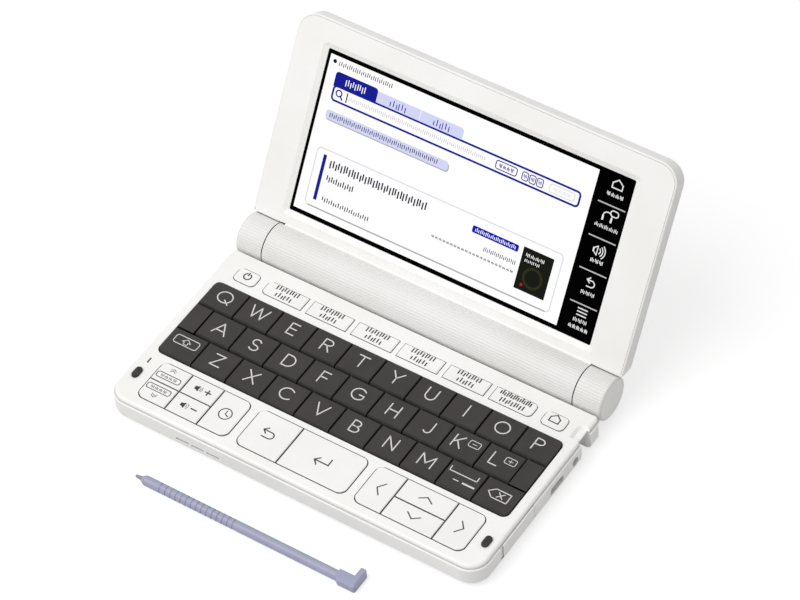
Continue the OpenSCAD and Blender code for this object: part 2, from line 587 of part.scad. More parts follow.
module lid_cover() {
  back_r = 2.0;
  color(shell_color) on_lid() difference() {
    union() {
      difference() {
        union() {
          edge_band(half_w, door_v + 0.15, lid_len, corner_r, concat(
            [[corner_r - 1, back_n]], arc(back_r, back_n + back_r, back_r, 270, 180),
            [[0, bezel_n - 0.4], [0.3, bezel_n - 0.1], [rim_step - clear, bezel_n - 0.1],
             [rim_step - clear, panel_n - clear], [wall, panel_n - clear], [wall, back_n + floor_t],
             [corner_r - 1, back_n + floor_t]]));
          plate(-half_w + corner_r - 2, half_w - corner_r + 2, door_v + 0.15, lid_len - corner_r + 2,
            back_n, back_n + floor_t, [0, 0, corner_r - 4, corner_r - 4]);
          // wall between the battery bay and the screen, and the sloped ends beside it
          block(-mid_barrel_x, mid_barrel_x, door_v + 0.15, door_v + 1.3, back_n, panel_n - clear);
          for (s = [-1, 1]) along_x(s > 0 ? mid_barrel_x - 1 : -half_w + wall, s > 0 ? half_w - wall : -mid_barrel_x + 1)
            polygon([[lid_edge_v, panel_n - clear], [lid_edge_v + 3.2, back_n], [lid_edge_v + 5, back_n], [lid_edge_v + 1.6, panel_n - clear]]);
          // ribs that carry the display
          for (i = [0:3]) block(window_w * (i / 4 - 0.42), window_w * (i / 4 - 0.42) + 1.2, window_v - window_h / 2 + 2,
            window_v + window_h / 2 - 2, back_n + floor_t - 0.1, panel_n - panel_t - lcd_t - clear);
          for (s = [-1, 1]) for (t = [-0.4, 0.4]) translate([s * lid_boss_x, window_v + t * window_h, back_n])
            cylinder(h = lid_t - bezel_t - clear, r = 1.6);
        }
        // the ends of the lid beside the barrel slope away from the end knuckles
        for (s = [-1, 1]) along_x(s > 0 ? mid_barrel_x : -half_w - 1, s > 0 ? half_w + 1 : -mid_barrel_x)
          polygon([[0, 1], [lid_edge_v, 1], [lid_edge_v, bezel_n], [lid_edge_v + 3.2, back_n - 0.1], [0, back_n - 0.1]]);
      }
      // solid ends of the barrel
      for (s = [-1, 1]) {
        along_x(s > 0 ? bay_x + clear : -mid_barrel_x, s > 0 ? mid_barrel_x : -bay_x - clear) barrel_back();
        along_x(s > 0 ? bay_x + clear : -mid_barrel_x, s > 0 ? mid_barrel_x : -bay_x - clear) circle(bore_r - clear);
        block(s > 0 ? bay_x + clear : -mid_barrel_x, s > 0 ? mid_barrel_x : -bay_x - clear, door_v / 2, door_v + 1, back_n, panel_n - clear);
        block(s > 0 ? mid_barrel_x - 1.2 : -mid_barrel_x, s > 0 ? mid_barrel_x : -mid_barrel_x + 1.2, door_v, lid_edge_v + 3.8, back_n, panel_n - clear);
      }
    }
    rod_x(-mid_barrel_x - 1, mid_barrel_x + 1, 0, 0, pin_r + 0.05);
    rod_x(-head_x - head_t - 0.1, head_x + head_t + 0.1, 0, 0, head_r + 0.05);
  }
}

module lid_bezel() {
  fillet = 0.9;
  fn = bezel_n + fillet;
  fv = sqrt(pow(barrel_r + fillet, 2) - fn * fn);
  x1 = window_w / 2;
  v0 = window_v - window_h / 2;
  v1 = window_v + window_h / 2;
  lip = 0.3;
  color(shell_color) on_lid() difference() {
    union() {
      plate(-lid_seam_x, lid_seam_x, lid_edge_v, lid_seam_v, panel_n, bezel_n, [1.5, 1.5, seam_r, seam_r]);
      block(-mid_barrel_x, mid_barrel_x, bore_r + clear, lid_edge_v + 1, panel_n, bezel_n);
      along_x(-mid_barrel_x, mid_barrel_x) {
        intersection() {
          circle(barrel_r);
          translate([-20, bezel_n]) square([40, 20]);
        }
        difference() {
          polygon([[barrel_r - 0.6, bezel_n - 0.1], [fv, bezel_n - 0.1], [fv, fn], barrel_r / (barrel_r + fillet) * [fv, fn]]);
          translate([fv, fn]) circle(fillet);
        }
      }
    }
    rod_x(-mid_barrel_x - 1, mid_barrel_x + 1, 0, 0, bore_r);
    block(-mid_barrel_x - 1, -mid_barrel_x + 1.9, barrel_r, barrel_r + 0.6, panel_n + 0.3, 2);
    translate([window_x, 0, 0]) plate(-x1, x1, v0, v1, panel_n - 1, bezel_n + 1, [0.6, 0.6, 0.6, 0.6]);
    // sloped border: a groove profile run round all four sides of the window
    translate([window_x, 0, 0]) for (s = [-1, 1]) {
      along_y(v0, v1) polygon([[s * (x1 - 1), panel_n + lip], [s * x1, panel_n + lip], [s * (x1 + bevel_w), bezel_n], [s * (x1 + bevel_w), 1], [s * (x1 - 1), 1]]);
      along_x(-x1, x1) polygon([[window_v + s * (window_h / 2 - 1), panel_n + lip], [window_v + s * window_h / 2, panel_n + lip],
        [window_v + s * (window_h / 2 + bevel_w), bezel_n], [window_v + s * (window_h / 2 + bevel_w), 1], [window_v + s * (window_h / 2 - 1), 1]]);
      for (t = [-1, 1]) translate([s * x1, window_v + t * window_h / 2, 0])
        rotate_extrude() polygon([[0, panel_n + lip], [0, 1], [bevel_w, 1], [bevel_w, bezel_n]]);
    }
  }
}

module screen_module() {
  x1 = window_w / 2 + panel_over;
  v0 = window_v - window_h / 2 - panel_over;
  v1 = window_v + window_h / 2 + panel_over;
  n0 = panel_n - clear;
  color([0.1, 0.1, 0.12]) on_lid() translate([window_x, 0, 0]) {
    plate(-x1, x1, v0, v1, n0 - panel_t, n0, [1, 1, 1, 1]);
    plate(-x1 + 1, x1 - icon_strip, v0 + 1, v1 - 1, n0 - panel_t - lcd_t + clear, n0 - panel_t, [1, 1, 1, 1]);
  }
}

module batteries() {
  nub = 1;
  color("slategray") on_lid() for (i = [0, 1]) {
    x0 = (i - 1) * (cell_len + 0.2) + 0.1;
    rod_x(x0, x0 + cell_len - nub, 0, 0, cell_r);
    rod_x(x0, x0 + cell_len, 0, 0, 2.7);
  }
}

module battery_door() {
  color(shell_color) on_lid() difference() {
    along_x(-bay_x + clear, bay_x - clear) difference() {
      barrel_back();
      circle(bore_r);
      translate([5, back_n + floor_t]) square([5, 10]);
    }
    // grip ribs for the thumb
    for (i = [0:3]) block(-6, 6, -3.2 + 1.6 * i, -2.6 + 1.6 * i, -barrel_r - 1, -barrel_r + 0.35);
  }
}

module stylus() {
  x1 = stylus_len - stylus_head[0];
  z = stylus_r;
  grooves = concat([10.5], [for (i = [0:13]) 12.8 + 2.1 * i]);
  head_y = stylus_y + stylus_r - stylus_head[1];
  end_x = stylus_x + stylus_len;
  foot_x = end_x - leg[0];
  leg_y = stylus_y + leg[1];
  color([0.64, 0.64, 0.77]) {
    translate([stylus_x, stylus_y, z]) rotate([90, 0, 90]) rotate_extrude() polygon(concat(
      [[0, 3], [1.2, 3], [stylus_r, 4.2]],
      [for (g = grooves) each [[stylus_r, g], [stylus_r - 0.25, g + 0.15], [stylus_r - 0.25, g + 0.55], [stylus_r, g + 0.7]]],
      [[stylus_r, x1 + 1], [0, x1 + 1]]));
    intersection() {
      translate([0, 0, -1]) linear_extrude(8) polygon([[end_x - stylus_head[0], stylus_y + stylus_r],
        [end_x - stylus_head[0], head_y + 1], [end_x - stylus_head[0] + 1.4, head_y], [end_x - 1, head_y],
        [end_x - 0.3, head_y + 0.3], [end_x, head_y + 1], [end_x, leg_y - 0.9], [end_x - 0.8, leg_y],
        [foot_x + 0.5, leg_y], [foot_x, leg_y - 0.6], [foot_x, stylus_y + stylus_r]]);
      along_x(end_x - 10, end_x + 1) polygon([[head_y + 0.5, 0], [head_y, 0.5], [head_y + 0.1, stylus_head[2] - 0.8],
        [head_y + 0.9, stylus_head[2]], [leg_y - 0.5, stylus_head[2]], [leg_y, stylus_head[2] - 0.5], [leg_y, 0.4], [leg_y - 0.4, 0]]);
      along_y(head_y - 1, leg_y + 1) polygon([[end_x - 10, 0], [end_x - 10, stylus_head[2]], [end_x - 0.6, stylus_head[2]],
        [end_x, stylus_head[2] - 0.6], [end_x, 0.5], [end_x - 0.5, 0]]);
    }
  }
  color("gray") translate([stylus_x, stylus_y, z]) rotate([90, 0, 90]) rotate_extrude()
    polygon(concat([[0, 0]], arc(0, 0.55, 0.55, -90, 0), [[0.8, 3], [0, 3]]));
}

module rubber_pads() {
  color([0.15, 0.15, 0.15]) {
    for (p = foot_pos) plate(p[0] - foot_size[0] / 2, p[0] + foot_size[0] / 2, p[1] - foot_size[1] / 2,
      p[1] + foot_size[1] / 2, 0, under_z + pad_sink, [1.9, 1.9, 1.9, 1.9]);
    for (p = bumper_pos) plate(p[0] - bumper_size[0] / 2, p[0] + bumper_size[0] / 2, p[1] - bumper_size[1] / 2,
      p[1] + bumper_size[1] / 2, cover_z - 0.8, cover_z + 0.7, [1.15, 1.15, 1.15, 1.15]);
  }
}

module case_screws() {
  color("dimgray") for (p = screw_pos) translate([p[0], p[1], 0]) difference() {
    union() {
      translate([0, 0, under_z + 0.2]) cylinder(h = 1, r = screw_head_r);
      translate([0, 0, under_z + 1]) cylinder(h = seam_z - under_z - 0.6, r = screw_r);
    }
    for (a = [0, 90]) rotate(a) translate([-0.9, -0.15, under_z - 1]) cube([1.8, 0.3, 1.7]);
  }
}

lower_case();
keyboard_cover();
key_mat();
main_board();
card_cover();
hinge_pins();
lid_cover();
lid_bezel();
screen_module();
batteries();
battery_door();
stylus();
rubber_pads();
case_screws();
for (key = KEYS) keycap(key);
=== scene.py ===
import math

import bpy
from mathutils import Matrix, Vector


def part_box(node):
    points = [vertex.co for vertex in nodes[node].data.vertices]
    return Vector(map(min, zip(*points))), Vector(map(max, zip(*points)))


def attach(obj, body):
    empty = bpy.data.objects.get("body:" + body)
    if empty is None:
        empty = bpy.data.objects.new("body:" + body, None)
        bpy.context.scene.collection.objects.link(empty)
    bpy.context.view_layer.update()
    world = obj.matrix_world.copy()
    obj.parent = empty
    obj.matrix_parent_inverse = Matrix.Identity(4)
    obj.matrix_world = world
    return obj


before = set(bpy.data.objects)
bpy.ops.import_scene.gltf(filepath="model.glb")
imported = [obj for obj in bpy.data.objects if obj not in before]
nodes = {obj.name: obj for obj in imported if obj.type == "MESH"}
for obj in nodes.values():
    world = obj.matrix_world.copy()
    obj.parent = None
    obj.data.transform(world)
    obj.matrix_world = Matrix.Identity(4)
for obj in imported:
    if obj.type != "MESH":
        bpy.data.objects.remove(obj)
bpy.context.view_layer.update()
mm = 0.001
print("frame loaded")


# helpers shared by the pieces

def deselectAll():
    if bpy.context.object and bpy.context.object.mode != "OBJECT":
        bpy.ops.object.mode_set(mode="OBJECT")
    bpy.ops.object.select_all(action="DESELECT")


def pick(*pieces):
    deselectAll()
    for piece in pieces:
        piece.select_set(True)
    bpy.context.view_layer.objects.active = pieces[0]


def joinPieces(name, pieces):
    pick(*pieces)
    if len(pieces) > 1:
        bpy.ops.object.join()
    pieces[0].name = name
    return pieces[0]


def finishPiece(piece, place, material, body):
    # puts a flat-made piece where it belongs and hangs it on its body
    pick(piece)
    piece.matrix_world = place
    bpy.ops.object.transform_apply(location=True, rotation=True, scale=True)
    piece.data.materials.clear()
    piece.data.materials.append(material)
    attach(piece, body)


# helpers for shader nodes

def paint(red, green, blue):
    # 0-255 display colour to the linear colour a shader wants
    linear = [c / 255 / 12.92 if c <= 10 else ((c / 255 + 0.055) / 1.055) ** 2.4 for c in (red, green, blue)]
    return (*linear, 1)


def grey(level):
    return (level, level, level, 1)


def feed(tree, socket, value):
    # the value is a number, a colour or another node's output
    if isinstance(value, bpy.types.NodeSocket):
        tree.links.new(value, socket)
    else:
        socket.default_value = value


def calc(tree, operation, *values):
    node = tree.nodes.new("ShaderNodeMath")
    node.operation = operation
    for socket, value in zip(node.inputs, values):
        feed(tree, socket, value)
    return node.outputs[0]


def mixColours(tree, factor, first, second, blend="MIX"):
    node = tree.nodes.new("ShaderNodeMix")
    node.data_type = "RGBA"
    node.blend_type = blend
    for key, value in (("Factor", factor), ("A", first), ("B", second)):
        feed(tree, node.inputs[key], value)
    return node.outputs["Result"]


def blendColours(tree, factor, low, high, span=(0.35, 0.65)):
    ramp = tree.nodes.new("ShaderNodeValToRGB")
    ramp.color_ramp.elements[0].position, ramp.color_ramp.elements[1].position = span
    ramp.color_ramp.elements[0].color, ramp.color_ramp.elements[1].color = low, high
    tree.links.new(factor, ramp.inputs["Fac"])
    return ramp.outputs["Color"]


def mapRange(tree, value, fromRange, toRange):
    node = tree.nodes.new("ShaderNodeMapRange")
    for key, number in zip(("From Min", "From Max", "To Min", "To Max"), (*fromRange, *toRange)):
        node.inputs[key].default_value = number
    tree.links.new(value, node.inputs["Value"])
    return node.outputs["Result"]


def objectAxis(tree, axis):
    # the X, Y or Z of the object's own coordinates, in metres
    coords = tree.nodes.new("ShaderNodeTexCoord")
    split = tree.nodes.new("ShaderNodeSeparateXYZ")
    tree.links.new(coords.outputs["Object"], split.inputs[0])
    return split.outputs[axis]


def addNoise(tree, scale, detail=3, stretch=(1, 1, 1)):
    # noise on the object's own coordinates; scale is lumps per metre
    coords = tree.nodes.new("ShaderNodeTexCoord")
    mapping = tree.nodes.new("ShaderNodeMapping")
    mapping.inputs["Scale"].default_value = stretch
    noise = tree.nodes.new("ShaderNodeTexNoise")
    noise.inputs["Scale"].default_value = scale
    noise.inputs["Detail"].default_value = detail
    tree.links.new(coords.outputs["Object"], mapping.inputs["Vector"])
    tree.links.new(mapping.outputs[0], noise.inputs["Vector"])
    return noise.outputs["Fac"]


# camera

cameraPlace = {"at": (0.51810, -0.66734, 1.01892), "azimuth": 36.852, "elevation": 48.805, "roll": -4.698,
               "lens": 176.7, "clip": (0.05, 20)}


def addCamera(place):
    azimuth, elevation, roll = (math.radians(place[k]) for k in ("azimuth", "elevation", "roll"))
    right = Vector((math.cos(azimuth), math.sin(azimuth), 0))
    back = Vector((math.sin(azimuth) * math.cos(elevation), -math.cos(azimuth) * math.cos(elevation),
                   math.sin(elevation)))
    up = back.cross(right)
    across = right * math.cos(roll) + up * math.sin(roll)
    upright = up * math.cos(roll) - right * math.sin(roll)
    deselectAll()
    bpy.ops.object.camera_add()
    camera = bpy.context.object
    camera.name = "camera"
    turn = Matrix((across, upright, back)).transposed().to_4x4()
    camera.matrix_world = Matrix.Translation(place["at"]) @ turn
    camera.data.lens = place["lens"]
    camera.data.clip_start, camera.data.clip_end = place["clip"]
    bpy.context.scene.camera = camera


addCamera(cameraPlace)


# light and floor

def mixSeen(tree, unseen, seen):
    # the second shader is what the camera, a reflection or a see-through material gets to see
    rays = tree.nodes.new("ShaderNodeLightPath").outputs
    direct = calc(tree, "MAXIMUM", rays["Is Camera Ray"], rays["Is Glossy Ray"])
    direct = calc(tree, "MAXIMUM", direct, rays["Is Transmission Ray"])
    mix = tree.nodes.new("ShaderNodeMixShader")
    for socket, value in zip(mix.inputs, (direct, unseen, seen)):
        tree.links.new(value, socket)
    return mix.outputs[0]


room = {"colour": grey(1), "strengths": (0.56, 1)}


def addRoom(look):
    # even light from all round, before a background that is seen as plain white
    world = bpy.data.worlds.new("room")
    bpy.context.scene.world = world
    world.use_nodes = True
    tree = world.node_tree
    tree.nodes.clear()
    shaders = []
    for strength in look["strengths"]:
        background = tree.nodes.new("ShaderNodeBackground")
        background.inputs["Color"].default_value = look["colour"]
        background.inputs["Strength"].default_value = strength
        shaders.append(background.outputs[0])
    output = tree.nodes.new("ShaderNodeOutputWorld")
    tree.links.new(mixSeen(tree, *shaders), output.inputs["Surface"])


softKey = {"power": 8.9, "size": 1.1, "from": (-0.245, -0.45, 0.858), "distance": 1.2, "aim": (0, 0, 0.03)}


def addSoftKey(look):
    direction = Vector(look["from"]).normalized()
    deselectAll()
    bpy.ops.object.light_add(type="AREA", location=Vector(look["aim"]) + direction * look["distance"])
    lamp = bpy.context.object
    lamp.name = "softKey"
    lamp.data.shape = "DISK"
    lamp.data.size = look["size"]
    lamp.data.energy = look["power"]
    lamp.rotation_mode = "QUATERNION"
    lamp.rotation_quaternion = direction.to_track_quat("Z", "Y")


whiteFloor = {"size": 6, "bounce": 0.54, "white": 0.45, "lift": 0.64}


def addFloor(look):
    # white paper that looks brighter than the light it throws back on the part
    deselectAll()
    bpy.ops.mesh.primitive_plane_add(size=look["size"])
    floor = bpy.context.object
    floor.name = "floor"
    paper = bpy.data.materials.new("whitePaper")
    paper.use_nodes = True
    tree = paper.node_tree
    tree.nodes.clear()
    bounce = tree.nodes.new("ShaderNodeBsdfDiffuse")
    bounce.inputs["Color"].default_value = grey(look["bounce"])
    plain = tree.nodes.new("ShaderNodeBsdfDiffuse")
    plain.inputs["Color"].default_value = grey(look["white"])
    lift = tree.nodes.new("ShaderNodeEmission")
    lift.inputs["Strength"].default_value = look["lift"]
    lifted = tree.nodes.new("ShaderNodeAddShader")
    tree.links.new(plain.outputs[0], lifted.inputs[0])
    tree.links.new(lift.outputs[0], lifted.inputs[1])
    output = tree.nodes.new("ShaderNodeOutputMaterial")
    tree.links.new(mixSeen(tree, bounce.outputs[0], lifted.outputs[0]), output.inputs["Surface"])
    floor.data.materials.append(paper)


bpy.context.scene.view_settings.view_transform = "Standard"
addRoom(room)
addSoftKey(softKey)
addFloor(whiteFloor)
print("camera and studio ready")


# materials

noiseSpan = (0.3, 0.7)  # the part of a noise that is spread over the whole range of roughness


def newMaterial(name):
    material = bpy.data.materials.new(name)
    material.use_nodes = True
    return material, material.node_tree, material.node_tree.nodes["Principled BSDF"]


def addDrift(tree, noise, look):
    # slow drift between a material's colour and its shade
    return blendColours(tree, noise, paint(*look["shade"]), paint(*look["colour"]))


def addPolish(tree, shader, noise, roughness):
    tree.links.new(mapRange(tree, noise, noiseSpan, roughness), shader.inputs["Roughness"])


def addBump(tree, shader, height, depth):
    # goes on top of the bumps that the shader has already
    bump = tree.nodes.new("ShaderNodeBump")
    bump.inputs["Distance"].default_value = depth
    tree.links.new(height, bump.inputs["Height"])
    if shader.inputs["Normal"].is_linked:
        tree.links.new(shader.inputs["Normal"].links[0].from_socket, bump.inputs["Normal"])
    tree.links.new(bump.outputs[0], shader.inputs["Normal"])


def addGrain(tree, shader, look):
    addBump(tree, shader, addNoise(tree, look["grain"], detail=2), look["grainDepth"])


def addBarrelRibs(tree, shader, look):
    # fine lines along the hinge barrel, spaced by the angle about its axis; the barrel's colour is darkened as painted
    # shade, deepest in the grooves between the lines
    across = calc(tree, "SUBTRACT", objectAxis(tree, "Y"), look["axis"][0])
    rise = calc(tree, "SUBTRACT", objectAxis(tree, "Z"), look["axis"][1])
    wave = calc(tree, "SINE", calc(tree, "MULTIPLY", calc(tree, "ARCTAN2", rise, across), look["count"]))
    squares = (calc(tree, "MULTIPLY", across, across), calc(tree, "MULTIPLY", rise, rise))
    radius = calc(tree, "SQRT", calc(tree, "ADD", *squares))
    onBarrel = calc(tree, "MULTIPLY", calc(tree, "GREATER_THAN", radius, look["reach"][0]),
                    calc(tree, "LESS_THAN", radius, look["reach"][1]))
    # painted shade: darker in the grooves, only on the barrel
    paintedBarrelShade = calc(tree, "MULTIPLY", mapRange(tree, wave, (-1, 1), look["grooves"]), onBarrel)
    plain = shader.inputs["Base Color"].links[0].from_socket
    tree.links.new(mixColours(tree, paintedBarrelShade, plain, grey(look["shade"]), "MULTIPLY"), shader.inputs["Base Color"])
    addBump(tree, shader, calc(tree, "MULTIPLY", wave, onBarrel), look["depth"])


# samples and warm tint of the painted shade in seams and gaps
creviceShade = {"samples": 8, "tint": (1, 0.98, 0.96)}


def paintCreviceShade(tree, colour, reach, darkest, span=(0.3, 0.85)):
    # painted shade: an ambient occlusion node darkens the colour in seams, slots and gaps narrower than the reach
    crevice = tree.nodes.new("ShaderNodeAmbientOcclusion")
    crevice.samples = creviceShade["samples"]
    crevice.inputs["Distance"].default_value = reach
    paintedShadeColour = (*(c * darkest for c in creviceShade["tint"]), 1)
    openness = mapRange(tree, crevice.outputs["AO"], span, (0, 1))
    return mixColours(tree, 1, colour, mixColours(tree, openness, paintedShadeColour, grey(1)), "MULTIPLY")


def mouldedPlastic(name, look):
    # grained plastic: slow colour drift, fine spark texture and patches of polish
    material, tree, shader = newMaterial(name)
    drift = addDrift(tree, addNoise(tree, look["drift"]), look)
    # the colour carries painted shade in seams and gaps
    tree.links.new(paintCreviceShade(tree, drift, *look["crevice"]), shader.inputs["Base Color"])
    addPolish(tree, shader, addNoise(tree, look["polish"], detail=5), look["roughness"])
    shader.inputs["Specular IOR Level"].default_value = look["specular"]
    addGrain(tree, shader, look)
    if "ribs" in look:
        addBarrelRibs(tree, shader, look["ribs"])
    return material


# crevice: reach and darkest level of the painted shade in seams and gaps
plastics = {
    "caseWhite": {"colour": (246, 245, 243), "shade": (242, 241, 238), "drift": 38, "polish": 160,
                  "roughness": (0.34, 0.46), "specular": 0.5, "grain": 3600, "grainDepth": 0.000012,
                  "crevice": (0.0009, 0.16),
                  # the ribs' shade and grooves darken the barrel's colour as painted shade
                  "ribs": {"axis": (0.0382, 0.0106), "count": 50, "depth": 0.00004,
                           "reach": (0.00724, 0.00812), "shade": 0.84, "grooves": (0.75, 1)}},
    "keyWhite": {"colour": (244, 243, 241), "shade": (240, 239, 237), "drift": 60, "polish": 240,
                 "roughness": (0.28, 0.38), "specular": 0.5, "grain": 5200, "grainDepth": 0.000006,
                 "crevice": (0.0009, 0.12)},
    "keyCharcoal": {"colour": (55, 51, 50), "shade": (50, 46, 45), "drift": 90, "polish": 300,
                    "roughness": (0.46, 0.58), "specular": 0.3, "grain": 4200, "grainDepth": 0.000016,
                    "crevice": (0.002, 0.02, (0.42, 0.97))},
    "bumperRubber": {"colour": (58, 57, 55), "shade": (48, 47, 46), "drift": 400, "polish": 600,
                     "roughness": (0.7, 0.85), "specular": 0.3, "grain": 5200, "grainDepth": 0.00003,
                     "crevice": (0.0006, 0.2)},
}
finish = {name: mouldedPlastic(name, look) for name, look in plastics.items()}

brushedSteel = {"colour": (176, 177, 180), "shade": (150, 151, 155), "roughness": (0.22, 0.38),
                "scale": 900, "stretch": (0.05, 1, 1)}


def makeSteel(look):
    material, tree, shader = newMaterial("brushedSteel")
    streaks = addNoise(tree, look["scale"], detail=4, stretch=look["stretch"])
    tree.links.new(addDrift(tree, streaks, look), shader.inputs["Base Color"])
    addPolish(tree, shader, streaks, look["roughness"])
    shader.inputs["Metallic"].default_value = 1
    return material


finish["brushedSteel"] = makeSteel(brushedSteel)

circuitBoard = {"mask": (24, 92, 56), "trace": (46, 128, 80), "socket": (170, 166, 156), "socketFrom": 0.0615,
                "pattern": 130, "traceWidth": 0.035, "roughness": (0.3, 0.45), "polish": 500}


def makeBoard(look):
    # green solder mask with lighter traces; the sockets at the right edge are metal
    material, tree, shader = newMaterial("circuitBoard")
    coords = tree.nodes.new("ShaderNodeTexCoord")
    brick = tree.nodes.new("ShaderNodeTexBrick")
    brick.inputs["Scale"].default_value = look["pattern"]
    brick.inputs["Mortar Size"].default_value = look["traceWidth"]
    brick.inputs["Color1"].default_value = paint(*look["mask"])
    brick.inputs["Color2"].default_value = paint(*look["mask"])
    brick.inputs["Mortar"].default_value = paint(*look["trace"])
    tree.links.new(coords.outputs["Object"], brick.inputs["Vector"])
    edge = calc(tree, "GREATER_THAN", objectAxis(tree, "X"), look["socketFrom"])
    colour = mixColours(tree, edge, brick.outputs["Color"], paint(*look["socket"]))
    tree.links.new(colour, shader.inputs["Base Color"])
    tree.links.new(edge, shader.inputs["Metallic"])
    addPolish(tree, shader, addNoise(tree, look["polish"]), look["roughness"])
    return material


finish["circuitBoard"] = makeBoard(circuitBoard)

cellWrap = {"body": (52, 54, 60), "band": (196, 128, 66), "bandWidth": 0.012, "length": 0.0505,
            "roughness": (0.24, 0.4), "polish": 700, "metallic": 0.6}


def makeCellWrap(look):
    # foil sleeve with a copper band that comes round once for each cell
    material, tree, shader = newMaterial("cellWrap")
    along = calc(tree, "WRAP", objectAxis(tree, "X"), look["length"], 0)
    band = calc(tree, "LESS_THAN", along, look["bandWidth"])
    tree.links.new(mixColours(tree, band, paint(*look["body"]), paint(*look["band"])), shader.inputs["Base Color"])
    addPolish(tree, shader, addNoise(tree, look["polish"]), look["roughness"])
    shader.inputs["Metallic"].default_value = look["metallic"]
    return material


finish["cellWrap"] = makeCellWrap(cellWrap)

blackGlass = {"colour": (4, 4, 5), "shade": (1, 1, 1), "roughness": (0.05, 0.12), "specular": 0.004, "smear": 45}


def makeBlackGlass(look):
    # black panel with faint smears of haze
    material, tree, shader = newMaterial("blackGlass")
    smear = addNoise(tree, look["smear"], detail=5)
    tree.links.new(addDrift(tree, smear, look), shader.inputs["Base Color"])
    addPolish(tree, shader, smear, look["roughness"])
    shader.inputs["Specular IOR Level"].default_value = look["specular"]
    return material


finish["blackGlass"] = makeBlackGlass(blackGlass)

penPlastic = {"body": {"colour": (160, 162, 188), "shade": (154, 156, 181)},
              "tip": {"colour": (150, 150, 152), "shade": (138, 138, 141)}, "tipTo": -0.0462,
              "drift": 90, "polish": 260, "roughness": (0.34, 0.46), "grain": 4200, "grainDepth": 0.00001}


def makePenPlastic(look):
    # lilac grip plastic with a grey writing tip at its left end
    material, tree, shader = newMaterial("penPlastic")
    drift = addNoise(tree, look["drift"])
    atTip = calc(tree, "LESS_THAN", objectAxis(tree, "X"), look["tipTo"])
    colour = mixColours(tree, atTip, addDrift(tree, drift, look["body"]), addDrift(tree, drift, look["tip"]))
    tree.links.new(colour, shader.inputs["Base Color"])
    addPolish(tree, shader, addNoise(tree, look["polish"], detail=5), look["roughness"])
    addGrain(tree, shader, look)
    return material


finish["penPlastic"] = makePenPlastic(penPlastic)

inks = {"legendLight": {"colour": (226, 224, 221), "shade": (212, 210, 207), "cover": 2400, "roughness": (0.42, 0.6)},
        "legendDark": {"colour": (46, 45, 44), "shade": (56, 55, 54), "cover": 2400, "roughness": (0.42, 0.6)}}


def makeInk(name, look):
    # pad-printed ink, a little uneven in cover and in shine
    material, tree, shader = newMaterial(name)
    cover = addNoise(tree, look["cover"], detail=4)
    tree.links.new(addDrift(tree, cover, look), shader.inputs["Base Color"])
    addPolish(tree, shader, cover, look["roughness"])
    return material


for name, look in inks.items():
    finish[name] = makeInk(name, look)

lidTilt = math.radians(59)
pixels = {"perMetre": 6300, "bandsPerUnit": 20, "dim": 0.985, "dimSpan": (0, 0.25), "specular": 0.05,
          "smear": 45, "roughness": (0.1, 0.2)}
litColours = {"litPage": (255, 255, 255), "litBlue": (17, 24, 146), "litBadge": (10, 16, 176),
              "litTab": (211, 214, 246), "litInk": (14, 14, 44), "litGrey": (196, 196, 200),
              "litShadow": (176, 176, 178), "litFaint": (220, 219, 228), "litCover": (18, 21, 15),
              "litMoss": (46, 44, 20), "litRed": (206, 16, 26), "litIcon": (232, 232, 232), "litRule": (188, 188, 188)}


def makeLit(name, colour):
    # a lit display colour with the faint rows of its pixels
    material, tree, shader = newMaterial(name)
    coords = tree.nodes.new("ShaderNodeTexCoord")
    mapping = tree.nodes.new("ShaderNodeMapping")
    mapping.vector_type = "TEXTURE"
    mapping.inputs["Rotation"].default_value = (lidTilt, 0, 0)
    rows = tree.nodes.new("ShaderNodeTexWave")
    rows.bands_direction = "Y"
    rows.inputs["Scale"].default_value = pixels["perMetre"] / pixels["bandsPerUnit"]
    tree.links.new(coords.outputs["Object"], mapping.inputs["Vector"])
    tree.links.new(mapping.outputs[0], rows.inputs["Vector"])
    bright = paint(*colour)
    dim = (*[c * pixels["dim"] for c in bright[:3]], 1)
    lit = blendColours(tree, rows.outputs["Fac"], dim, bright, pixels["dimSpan"])
    tree.links.new(lit, shader.inputs["Emission Color"])
    shader.inputs["Base Color"].default_value = grey(0)
    shader.inputs["Emission Strength"].default_value = 1
    shader.inputs["Specular IOR Level"].default_value = pixels["specular"]
    addPolish(tree, shader, addNoise(tree, pixels["smear"], detail=5), pixels["roughness"])
    return material


for name, colour in litColours.items():
    finish[name] = makeLit(name, colour)

darkKeys = ["key_" + key for key in "qwertyuiopasdfghjklzxcvbnm"] + ["key_shift", "key_space", "key_delete"]
nodeFinish = {"lower_case": "caseWhite", "keyboard_cover": "caseWhite", "card_cover": "caseWhite",
              "lid_cover": "caseWhite", "lid_bezel": "caseWhite", "battery_door": "caseWhite",
              "key_mat": "keyCharcoal", "main_board": "circuitBoard", "hinge_pins": "brushedSteel",
              "case_screws": "brushedSteel", "screen_module": "blackGlass", "batteries": "cellWrap",
              "stylus": "penPlastic", "rubber_pads": "bumperRubber"}

for nodeName, node in nodes.items():
    if nodeName in nodeFinish:
        chosen = nodeFinish[nodeName]
    else:
        chosen = "keyCharcoal" if nodeName in darkKeys else "keyWhite"
    node.data.materials.clear()
    node.data.materials.append(finish[chosen])
print("materials assigned")


# strokes: lines and arcs that become thin raised print

def arc(centreX, centreY, radiusX, radiusY, start, end):
    # angles in degrees, with a point at every ten or so
    steps = max(4, round(abs(end - start) / 10))
    angles = [math.radians(start + (end - start) * i / steps) for i in range(steps + 1)]
    return [(centreX + radiusX * math.cos(a), centreY + radiusY * math.sin(a)) for a in angles]


def roundedBox(centreX, centreY, width, height, radius):
    x, y = width / 2 - radius, height / 2 - radius
    corners = []
    for i, (sideX, sideY) in enumerate(((1, 1), (-1, 1), (-1, -1), (1, -1))):
        corners += arc(centreX + sideX * x, centreY + sideY * y, radius, radius, 90 * i, 90 * i + 90)
    return corners + corners[:1]


